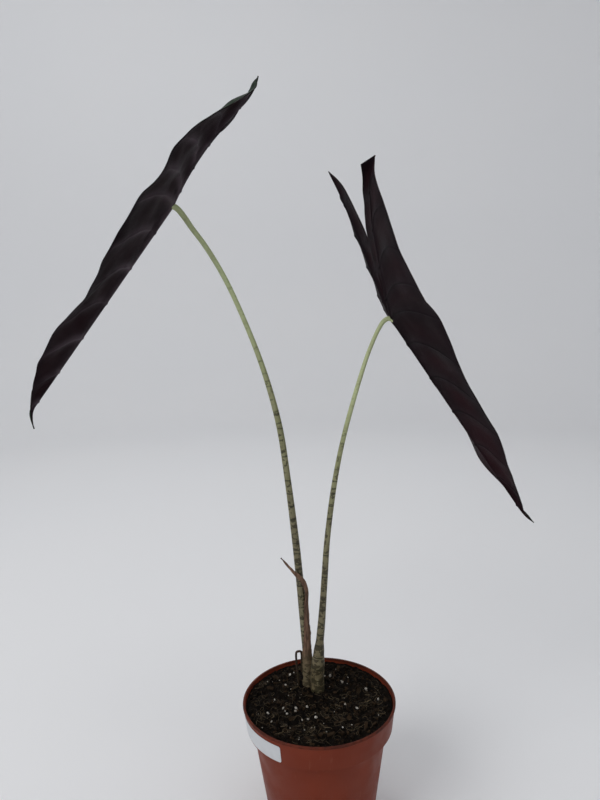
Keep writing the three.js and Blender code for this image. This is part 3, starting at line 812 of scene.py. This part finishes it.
def curl_path(length, bend, lift):
    """A wandering line, in millimetres, that starts and ends low."""
    heading, x, y = 0.0, 0.0, 0.0
    steps = 9
    points = []
    for i in range(steps + 1):
        points.append((x, y, lift * math.sin(math.pi * i / steps)))
        heading += bend + dice.uniform(-0.25, 0.25)
        x += length / steps * math.cos(heading)
        y += length / steps * math.sin(heading)
    points = np.array(points)
    points[:, :2] -= points[:, :2].mean(axis=0)
    return points


def fibre_master(points, radius):
    """One fibre in millimetres, with three sides, that thins to its end."""
    obj = rod("fibre", points, lambda share, angle: radius * (1 - 0.5 * share), 3, (0, 0, 1))
    set_coordinates(obj, coordinates(obj) / MM)
    return obj


def mix_fibres():
    masters = []
    for _ in range(16):
        bend = dice.uniform(0.05, 0.75) * dice.choice((-1, 1))
        path = curl_path(dice.uniform(*FIBRE_LENGTHS), bend, dice.uniform(0.3, 1.6))
        masters.append(fibre_master(path, dice.uniform(*FIBRE_RADII)))
    room = 3
    spots = []
    while len(spots) < FIBRE_COUNT:
        if dice.random() < TUFT_SHARE:
            tuft = dice.choice(TUFT_PLACES)
            x, y = dice.gauss(tuft[0], TUFT_SPREAD[0]), dice.gauss(tuft[1], TUFT_SPREAD[1])
        else:
            x, y = random_spot(FIBRE_REACH - 0.5, room)
        if math.hypot(x, y) < FIBRE_REACH and clear_of_stalks(x, y, room):
            spots.append((x, y, dice.uniform(0.7, 1.15), 0.22, 0.7, dice.random() ** 1.6))
    return scattered("mix_fibres", masters, spots, fibre_material_shared)


def pale_strands():
    """Two longer straw-coloured root ends that lie on the mix."""
    strands = []
    for (x0, y0), (x1, y1) in STRAND_ENDS:
        share = np.linspace(0, 1, 14)
        x = x0 + (x1 - x0) * share + 0.7 * np.sin(5 * share)
        y = y0 + (y1 - y0) * share + 0.9 * np.sin(7 * share + 1)
        points = np.stack([x, y, mix_height(x, y) + 0.9 + 0.4 * np.sin(6 * share)], axis=1)
        strand = rod("strand", points, lambda share, angle: 0.34 - 0.16 * share, 6, (0, 0, 1))
        store(strand, "tint", np.full(len(strand.data.vertices), 1.0))
        strands.append(strand)
    return finish_piece(join(strands, "pale_strands"), (), [fibre_material_shared], 60)


# Stalks
def blade_frame(leaf):
    """Forward along the midrib, sideways, and up out of the blade's upper face."""
    heading, dip, roll = (math.radians(leaf[key]) for key in ("heading", "dip", "roll"))
    level = np.array([math.cos(heading), math.sin(heading), 0])
    upward = np.array([0, 0, 1.0])
    forward = level * math.cos(dip) - upward * math.sin(dip)
    up = level * math.sin(dip) + upward * math.cos(dip)
    side = np.cross(up, forward)
    rolled_side = side * math.cos(roll) + up * math.sin(roll)
    rolled_up = up * math.cos(roll) - side * math.sin(roll)
    return forward, rolled_side, rolled_up


def smooth_path(points, count):
    """Evenly spaced points on a centripetal curve through the given ones."""
    points = np.array(points, dtype=float)
    points = np.vstack([2 * points[0] - points[1], points, 2 * points[-1] - points[-2]])
    dense = []
    for a, b, c, d in zip(points, points[1:], points[2:], points[3:]):
        t0 = 0.0
        t1 = t0 + np.linalg.norm(b - a) ** 0.5
        t2 = t1 + np.linalg.norm(c - b) ** 0.5
        t3 = t2 + np.linalg.norm(d - c) ** 0.5
        for t in np.linspace(t1, t2, 24, endpoint=False):
            ab = (t1 - t) / (t1 - t0) * a + (t - t0) / (t1 - t0) * b
            bc = (t2 - t) / (t2 - t1) * b + (t - t1) / (t2 - t1) * c
            cd = (t3 - t) / (t3 - t2) * c + (t - t2) / (t3 - t2) * d
            abc = (t2 - t) / (t2 - t0) * ab + (t - t0) / (t2 - t0) * bc
            bcd = (t3 - t) / (t3 - t1) * bc + (t - t1) / (t3 - t1) * cd
            dense.append((t2 - t) / (t2 - t1) * abc + (t - t1) / (t2 - t1) * bcd)
    dense.append(points[-2])
    dense = np.array(dense)
    travelled = np.concatenate([[0], np.cumsum(np.linalg.norm(np.diff(dense, axis=0), axis=1))])
    even = np.linspace(0, travelled[-1], count)
    return np.stack([np.interp(even, travelled, dense[:, k]) for k in range(3)], axis=1)


def path_frames(path, first_side):
    """Two directions square to the path at each point, which don't twist about it."""
    tangents = np.gradient(path, axis=0)
    tangents /= np.linalg.norm(tangents, axis=1)[:, None]
    side = np.array(first_side, dtype=float)
    sides = []
    for tangent in tangents:
        side = side - tangent * side.dot(tangent)
        side /= np.linalg.norm(side)
        sides.append(side)
    sides = np.array(sides)
    return sides, np.cross(tangents, sides)


def rod(name, path, radius_at, around, first_side=(1, 0, 0)):
    """A grid rolled into a tube along the path, seam merged and ends closed."""
    obj, share_around, share_along = flat_grid(name, around, len(path) - 1)
    sides, outs = path_frames(path, first_side)
    step = np.rint(share_along * (len(path) - 1)).astype(int)
    angle = share_around * 2 * math.pi
    radius = radius_at(share_along, angle)
    places = path[step] + radius[:, None] * (
        np.cos(angle)[:, None] * sides[step] + np.sin(angle)[:, None] * outs[step])
    set_coordinates(obj, places * MM)
    store(obj, "along", share_along)
    store(obj, "above_mix", path[step, 2] - MIX_LEVEL)
    merge_close(obj)
    edit(obj, select=False)
    bpy.ops.mesh.select_non_manifold(extend=False)
    bpy.ops.mesh.edge_face_add()
    bpy.ops.mesh.select_all(action="SELECT")
    bpy.ops.mesh.normals_make_consistent(inside=False)
    leave_edit()
    return obj


def foot_points(foot):
    bottom = MIX_LEVEL - MIX_DEPTH
    return [(foot[0], foot[1], bottom + part * MIX_DEPTH) for part in (0, 0.55, 1.1)]


def stalk(name, spec, replaces):
    path = smooth_path(foot_points(spec["foot"]) + spec["route"] + spec["crown"], STALK_STEPS)
    at, radii = np.array(spec["radii"]).T
    wing_angle, wing_size = math.radians(spec["wing"][0]), spec["wing"][1]
    shares = np.linspace(0, 1, len(path))

    def radius_at(share, angle):
        """Thickness along the stalk, with fine ribs and the wing at the foot."""
        i = np.clip(np.searchsorted(at, share, side="left"), 1, len(at) - 1)
        part = smooth((share - at[i - 1]) / (at[i] - at[i - 1]))
        radius = radii[i - 1] + (radii[i] - radii[i - 1]) * part
        ribbing = 1 + 0.018 * np.cos(7 * angle + 3 * share) + 0.01 * np.cos(12 * angle)
        height = np.interp(share, shares, path[:, 2])
        wing = wing_size * smooth((WING_TOP - height) / WING_FADE)
        return radius * ribbing + wing * np.maximum(np.cos(angle - wing_angle), 0) ** 3

    obj = rod(name, path, radius_at, STALK_SIDES)
    return finish_piece(obj, replaces, [stalk_material_shared], 60)


# Dry sheath and strand
def dry_sheath():
    """A curled strip up the left stalk, with torn edges, that crosses it and ends free."""
    obj, share_along, share_across = flat_grid("dry_sheath_papery", SHEATH_STEPS, SHEATH_ACROSS)
    axis = smooth_path(foot_points(LEFT_STALK["foot"]) + LEFT_STALK["route"], 300)
    rows = np.linspace(0, 1, SHEATH_STEPS + 1) * (len(SHEATH_ROWS) - 1)
    distance, direction, height, half_width, curl = through(SHEATH_ROWS, rows).T
    direction = np.radians(direction)
    outward = np.stack([np.cos(direction), np.sin(direction), 0 * direction], axis=1)
    axis_x, axis_y = (np.interp(height, axis[:, 2], axis[:, k]) for k in (0, 1))
    middle = np.stack([axis_x, axis_y, height], axis=1) + outward * distance[:, None]
    tangent = np.gradient(middle, axis=0)
    tangent /= np.linalg.norm(tangent, axis=1)[:, None]
    across = np.cross(tangent, outward)
    across /= np.linalg.norm(across, axis=1)[:, None]
    out = np.cross(across, tangent)
    i = np.rint(share_along * SHEATH_STEPS).astype(int)
    part = 2 * share_across - 1
    torn = np.array([
        noise.noise(Vector((a * 22, 3.0 * (p > 0), 0.5))) + 0.5 * noise.noise(Vector((a * 60, p, 7)))
        for a, p in zip(share_along, part)])
    crease = np.array([noise.noise(Vector((a * 14, p * 2.2, 2.5))) for a, p in zip(share_along, part)])
    end = 0.2 + 0.8 * smooth((1 - share_along) / 0.06)
    width = half_width[i] * end * (1 + 0.28 * torn * np.abs(part))
    sink = -0.5 * curl[i] * half_width[i] * part**2 + 0.45 * crease
    places = middle[i] + across[i] * (part * width)[:, None] + out[i] * sink[:, None]
    set_coordinates(obj, places * MM)
    store(obj, "along", share_along)
    store(obj, "above_mix", places[:, 2] - MIX_LEVEL)
    apply_modifier(obj, "SOLIDIFY", thickness=SHEATH_THICKNESS * MM, offset=0)
    return finish_piece(obj, ["dry_sheath"],
                        [dry_material("dry_leaf_sheath", "#7f6250", "#4c3a30", "#6b624a")], 50)


def stalk_remnant():
    """The folded strand: a flattened tube that rises from the mix and bends over."""
    path = smooth_path([REMNANT_FOOT + (MIX_LEVEL - REMNANT_DEPTH,)] + REMNANT_ROUTE, 90)
    wide, thin = REMNANT_HALF_WIDTHS

    def radius_at(share, angle):
        flat = thin * wide / np.hypot(thin * np.cos(angle), wide * np.sin(angle))
        return flat * (1 - 0.35 * smooth((share - 0.7) / 0.3)) * (1 + 0.12 * np.cos(3 * angle + 20 * share))

    obj = rod("dry_stalk_strand", path, radius_at, 14, (0, 1, 0))
    return finish_piece(obj, ["stalk_remnant"],
                        [dry_material("dry_stalk_strand", "#4a3227", "#271811", "#352a1e")], 60)


# Blades
def edge_points(rows, leaf):
    spread = math.radians(RIB_SPREAD)
    tip = (-leaf["lobe"] * math.cos(spread), leaf["lobe"] * math.sin(spread))
    points = []
    for _, forward, sideways in rows:
        if forward is None:
            points.append(tip)
        else:
            length = leaf["blade"] if forward >= 0 else leaf["lobe"]
            points.append((forward * length, sideways * HALF_WIDTH))
    return points


def flat_place(leaf, rows, row, share):
    """Place on the flat blade between the rib (share 0) and the edge (share 1)."""
    spread = math.radians(RIB_SPREAD)
    station = np.interp(row, np.arange(len(rows)), [r[0] for r in rows])
    distance = station * np.where(station >= 0, leaf["blade"], leaf["lobe"])
    rib = np.stack([np.where(station >= 0, distance, distance * math.cos(spread)),
                    np.where(station >= 0, 0, -distance * math.sin(spread))], axis=1)
    end = through(edge_points(rows, leaf), row)
    end[:, 1] = np.maximum(end[:, 1], 0)
    point = rib + (end - rib) * share[:, None]
    from_rib = np.linalg.norm(point - rib, axis=1)
    to_edge = np.linalg.norm(end - point, axis=1)
    return point[:, 0], point[:, 1], from_rib, to_edge, station


def bell(distance, width):
    """1 at no distance, and close to 0 past twice this width."""
    return np.exp(-((distance / width) ** 2))


def pillow_of(row, share):
    """How far the flesh stands up between two side veins, 0 to 1, with a crease at each vein."""
    part = row - np.floor(row)
    return (0.45 * np.sin(math.pi * part) ** 2 + 2.2 * part * (1 - part)) * np.sin(math.pi * share)


def blade_height(leaf, half, panel, forward, sideways, from_rib, row, share):
    """How far the blade stands up from its flat plane."""
    height = math.tan(math.radians(half["fold"] if panel == "outer" else half["cup"])) * from_rib
    if panel == "outer":
        height = height + through(half["rise"], row)[:, 0] * share**2
        ripple = np.sin(2 * math.pi * 0.83 * row + 0.7) + 0.6 * np.sin(2 * math.pi * 1.37 * row + 2)
        height = height + leaf["crumple"] * MARGIN_RIPPLE * ripple * share**5 * smooth(from_rib / 12)
    height = height + QUILT * leaf["quilting"] * pillow_of(row, share)
    back = np.maximum(-forward, 0) / leaf["lobe"]
    own = smooth(sideways / OWN_BEND_WIDTH)
    height = height + (leaf["lift"][0] + own * half["bend"][0]) * back
    height = height + (leaf["lift"][1] + own * half["bend"][1]) * back**2
    height = height + half["flare"] * np.maximum((back - 0.75) / 0.2, 0) ** 2
    if panel == "inner":
        height = height + half["tuck"] * np.maximum((back - 0.7) / 0.2, 0) ** 2 * share
    tip = np.maximum((forward / leaf["blade"] - HOOK_START) / (1 - HOOK_START), 0)
    return height + leaf["hook"] * tip**2


def blade_sheet(leaf, name, panel):
    """One panel of the blade's middle surface, between a rib and the edge or the other rib."""
    half = leaf[name]
    rows, across = (OUTER_EDGE, OUTER_STEPS) if panel == "outer" else (INNER_EDGE, INNER_STEPS)
    obj, u, v = flat_grid("blade_panel", (len(rows) - 1) * STEPS_PER_VEIN, across)
    row = u * (len(rows) - 1)
    row = row - 0.7 * np.sin(2 * math.pi * row) / (2 * math.pi)
    share = v**1.4
    forward, sideways, from_rib, to_edge, station = flat_place(leaf, rows, row, share)
    height = blade_height(leaf, half, panel, forward, sideways, from_rib, row, share)
    if panel == "outer":
        room = np.minimum((from_rib + to_edge) / 45, 1)
        forward = forward - VEIN_BOW * 4 * share * (1 - share) * room
    free = FREE_LOBE * leaf["lobe"]
    forward = np.where(forward < -free, -free + (forward + free) * half["reach"], forward)
    sign = 1 if (name == "front") == (leaf["heading"] > 90) else -1
    ahead, side, up = blade_frame(leaf)
    places = (np.array(leaf["joint"]) + forward[:, None] * ahead + (sign * sideways)[:, None] * side
              + height[:, None] * up)
    set_coordinates(obj, places * MM)
    nudge = 0.02
    after = flat_place(leaf, rows, np.minimum(row + nudge, len(rows) - 1), share)
    before = flat_place(leaf, rows, np.maximum(row - nudge, 0), share)
    spacing = np.hypot(after[0] - before[0], after[1] - before[1]) / (2 * nudge)
    off_vein = np.abs(row - np.rint(row))
    veinless = (row < 0.5) | (row > len(rows) - 1.5) | (panel == "inner")
    if panel == "inner":
        to_edge = np.maximum(to_edge, FAR * (sideways < 1e-6))
    for key, values in (
        ("from_rib", from_rib),
        ("from_vein", np.where(veinless, FAR, off_vein * spacing)),
        ("from_mid", np.where(veinless, FAR, np.abs(off_vein - 0.5) * spacing)),
        ("edge", to_edge),
        ("share", share),
        ("station", station),
        ("pillow", pillow_of(row, share)),
    ):
        store(obj, key, values)
    if (sign > 0) == (panel == "outer"):
        edit(obj)
        bpy.ops.mesh.flip_normals()
        leave_edit()
    return obj


def blade_masks(obj, leaf):
    """Stores where each tone lies on the blade, and returns its relief below and above."""
    keys = ("from_rib", "from_vein", "from_mid", "edge", "share", "station", "pillow")
    from_rib, from_vein, from_mid, to_edge, share, station, pillow = (stored(obj, key) for key in keys)
    fade = np.sqrt(np.clip(1 - np.abs(station), 0, 1))
    rib = bell(from_rib, 0.7 + 1.2 * fade) * fade
    side_vein = bell(from_vein, 0.55 + 0.5 * (1 - share)) * (1 - share) ** 0.4
    middle = bell(from_mid, 0.6) * np.sin(math.pi * share)
    border = bell(to_edge - 2.2, 0.6)
    rim = bell(to_edge, 2.5)
    wide = bell(from_vein, 5.0) * (1 - share) ** 0.6
    broad = bell(from_vein, 3.8) * (1 - share) ** 0.35
    keel = bell(from_rib, 4.5) * fade
    low = smooth((station - 0.2) / 0.5)
    pale = np.clip(rib + 0.8 * side_vein + 0.25 * middle + 0.2 * border, 0, 1)
    # Share of the underside's painted light that is sheen on the ridges and shade in the hollows; the rest
    # is painted shade along the veins
    painted_sheen_share = leaf["painted_sheen_share"]
    for key, values in (
        # painted shade on the ends of the rear lobes, upper side
        ("ends", smooth((np.abs(station) - 0.55) / 0.4) * (station < 0)),
        ("vein", pale * smooth(fade**2 / 0.2)),
        ("flush", np.clip(bell(from_rib, 7.0) + wide, 0, 1) * smooth(fade**2 / 0.3)),
        ("maroon", np.clip(0.7 * pillow + leaf["low_maroon"] * low, 0, 1)),
        # painted shade in the hollows between the ridges
        ("painted_hollow_shade", painted_sheen_share * pillow),
        # painted sheen on the ridges, keel and ribs
        ("painted_ridge_sheen", np.clip(painted_sheen_share * (0.7 * broad + 0.5 * keel + 0.4 * rib + 0.3 * side_vein), 0, 1)),
        # painted shade along the side veins and midrib
        ("painted_vein_shade", np.clip((1 - painted_sheen_share) * (side_vein + 0.5 * rib), 0, 1)),
    ):
        store(obj, key, values)
    below = RIB_HEIGHT * rib + 0.5 * side_vein + 0.12 * middle + 0.1 * border - 0.17 * rim
    above = -0.25 * rib - 0.15 * side_vein - 0.17 * rim
    return below, above


def blade(name, leaf, replaces):
    """Four panels joined, given their thickness, and raised along the ribs and veins."""
    sheets = [blade_sheet(leaf, half, panel) for half in ("front", "back") for panel in ("outer", "inner")]
    obj = join(sheets, name)
    merge_close(obj, MERGE_DISTANCE)
    for material in (blade_upper_shared, blade_under_shared, blade_edge_shared):
        obj.data.materials.append(material)
    apply_modifier(obj, "SOLIDIFY", thickness=BLADE_THICKNESS * MM, offset=0, use_rim=True,
                   material_offset=1, material_offset_rim=2)
    below, above = blade_masks(obj, leaf)
    under = np.zeros(len(obj.data.vertices), dtype=bool)
    for face in obj.data.polygons:
        if face.material_index == 1:
            under[list(face.vertices)] = True
    normals = vertex_normals(obj)
    places = coordinates(obj)
    crumple = np.array([
        0.9 * noise.noise(Vector(p) / (30 * MM)) + 0.5 * noise.noise(Vector(p) / (12 * MM)) for p in places])
    crumple = crumple * np.where(under, -1.0, 1.0) * leaf["crumple"] * smooth(stored(obj, "from_rib") / 8)
    shift = np.where(under, below, above) + crumple
    set_coordinates(obj, places + normals * (shift * MM)[:, None])
    return finish_piece(obj, replaces, (), 50)


# Label
def blank_label():
    """A rounded paper rectangle cut flat, sliced into strips and wrapped on the collar."""
    deselect()
    width = math.radians(LABEL_TO - LABEL_FROM) * COLLAR_TOP_RADIUS * MM
    tall = (LABEL_TOP - LABEL_BOTTOM) * MM
    bpy.ops.mesh.primitive_plane_add(size=1)
    label = named("blank_label_paper")
    edit(label)
    bpy.ops.transform.resize(value=(width, tall, 1), center_override=(0, 0, 0))
    bpy.ops.mesh.bevel(offset=LABEL_CORNER * MM, segments=5, affect="VERTICES")
    for i in range(1, LABEL_STRIPS):
        bpy.ops.mesh.select_all(action="SELECT")
        bpy.ops.mesh.bisect(plane_co=((i / LABEL_STRIPS - 0.5) * width, 0, 0), plane_no=(1, 0, 0))
    leave_edit()
    places = coordinates(label)
    height = LABEL_BOTTOM + (places[:, 1] / tall + 0.5) * (LABEL_TOP - LABEL_BOTTOM)
    angle = np.radians(LABEL_TO + (places[:, 0] / width + 0.5) * (LABEL_FROM - LABEL_TO))
    slope = (COLLAR_TOP_RADIUS - COLLAR_FOOT_RADIUS) / (POT_HEIGHT - LIP_HEIGHT - COLLAR_FOOT)
    radius = COLLAR_FOOT_RADIUS + slope * (height - COLLAR_FOOT) + LABEL_CLEARANCE
    wrapped = np.stack([-radius * np.sin(angle), -radius * np.cos(angle), height], axis=1)
    set_coordinates(label, wrapped * MM)
    apply_modifier(label, "SOLIDIFY", thickness=LABEL_THICKNESS * MM, offset=1)
    return finish_piece(label, ["blank_label"], [label_material()], 30)


# Stage, camera and lights
def studio():
    """Round pale sweep: floor that curves up into a wall on every side."""
    deselect()
    bpy.ops.mesh.primitive_circle_add(vertices=96, radius=FLOOR_RADIUS, fill_type="NGON")
    sweep = named("studio_sweep")
    edit(sweep)
    radius, height = FLOOR_RADIUS, 0.0
    for i in range(1, BEND_STEPS + 1):
        angle = i * math.pi / 2 / BEND_STEPS
        next_radius = FLOOR_RADIUS + BEND_RADIUS * math.sin(angle)
        next_height = BEND_RADIUS * (1 - math.cos(angle))
        rise, grow = next_height - height, next_radius / radius
        bpy.ops.mesh.extrude_region_move(TRANSFORM_OT_translate={"value": (0, 0, rise)})
        bpy.ops.transform.resize(value=(grow, grow, 1), center_override=(0, 0, 0))
        radius, height = next_radius, next_height
    bpy.ops.mesh.extrude_region_move(TRANSFORM_OT_translate={"value": (0, 0, WALL_HEIGHT)})
    bpy.ops.mesh.delete(type="ONLY_FACE")
    bpy.ops.mesh.select_all(action="SELECT")
    bpy.ops.mesh.normals_make_consistent(inside=True)
    leave_edit()
    sweep.data.materials.append(studio_material())
    bpy.ops.object.shade_smooth()


def camera():
    pitch, roll = math.radians(CAMERA_PITCH), math.radians(CAMERA_ROLL)
    forward = Vector((0, math.cos(pitch), -math.sin(pitch)))
    right = Vector((1, 0, 0))
    down = forward.cross(right)
    rolled_right = math.cos(roll) * right + math.sin(roll) * down
    rolled_down = forward.cross(rolled_right)
    turn = Matrix((rolled_right, -rolled_down, -forward)).transposed()
    deselect()
    bpy.ops.object.camera_add()
    view = bpy.context.object
    view.name = "photo_camera"
    view.matrix_world = Matrix.Translation(Vector(CAMERA_PLACE) * MM) @ turn.to_4x4()
    view.data.lens = CAMERA_LENS
    view.data.sensor_width = 36
    view.data.sensor_fit = "AUTO"
    view.data.clip_start = 0.01
    bpy.context.scene.camera = view


def area_light(name, place, aim, size, power, colour=(1, 1, 1)):
    deselect()
    bpy.ops.object.light_add(type="AREA", location=place)
    light = bpy.context.object
    light.name = name
    light.data.size = size
    light.data.energy = power
    light.data.color = colour
    light.visible_camera = False
    light.rotation_euler = (Vector(aim) - Vector(place)).to_track_quat("-Z", "Y").to_euler()


def lighting():
    bpy.context.scene.view_settings.view_transform = "Standard"
    area_light("key_window", (-1.3, -1.1, 1.5), (0, 0, 0.3), 1.2, 18, (1.0, 0.99, 0.98))
    area_light("fill_front", (1.3, -1.3, 0.9), (0, 0, 0.35), 1.4, 1.6, (0.96, 0.98, 1.0))
    area_light("top_soft", (0.1, 0.5, 1.9), (0, 0, 0.3), 1.6, 5)
    area_light("wall_wash", (-0.6, 1.0, 2.6), (-0.3, 3.4, 0.9), 1.6, 16)
    area_light("wall_wash_behind", (0.6, -1.0, 2.6), (0.3, -3.4, 0.9), 1.6, 11)
    world = bpy.data.worlds.new("soft_room")
    bpy.context.scene.world = world
    world.use_nodes = True
    background = world.node_tree.nodes["Background"]
    background.inputs["Color"].default_value = linear("#e4e6ea")
    background.inputs["Strength"].default_value = 0.4


dice = random.Random(7)
camera()
stalk_material_shared = stalk_material()
crumb_material_shared = crumb_material()
fibre_material_shared = fibre_material()
blade_upper_shared = blade_upper_material()
blade_under_shared = blade_under_material()
blade_edge_shared = blade_edge_material()
nursery_pot()
blank_label()
potting_mix()
mix_crumbs()
bark_chips()
perlite_grains()
mix_fibres()
pale_strands()
stalk("stalk_left", LEFT_STALK, ["petiole_left"])
stalk("stalk_right", RIGHT_STALK, ["petiole_right"])
blade("leaf_left", LEFT_LEAF, ["blade_left"])
blade("leaf_right", RIGHT_LEAF, ["blade_right"])
dry_sheath()
stalk_remnant()
studio()
lighting()
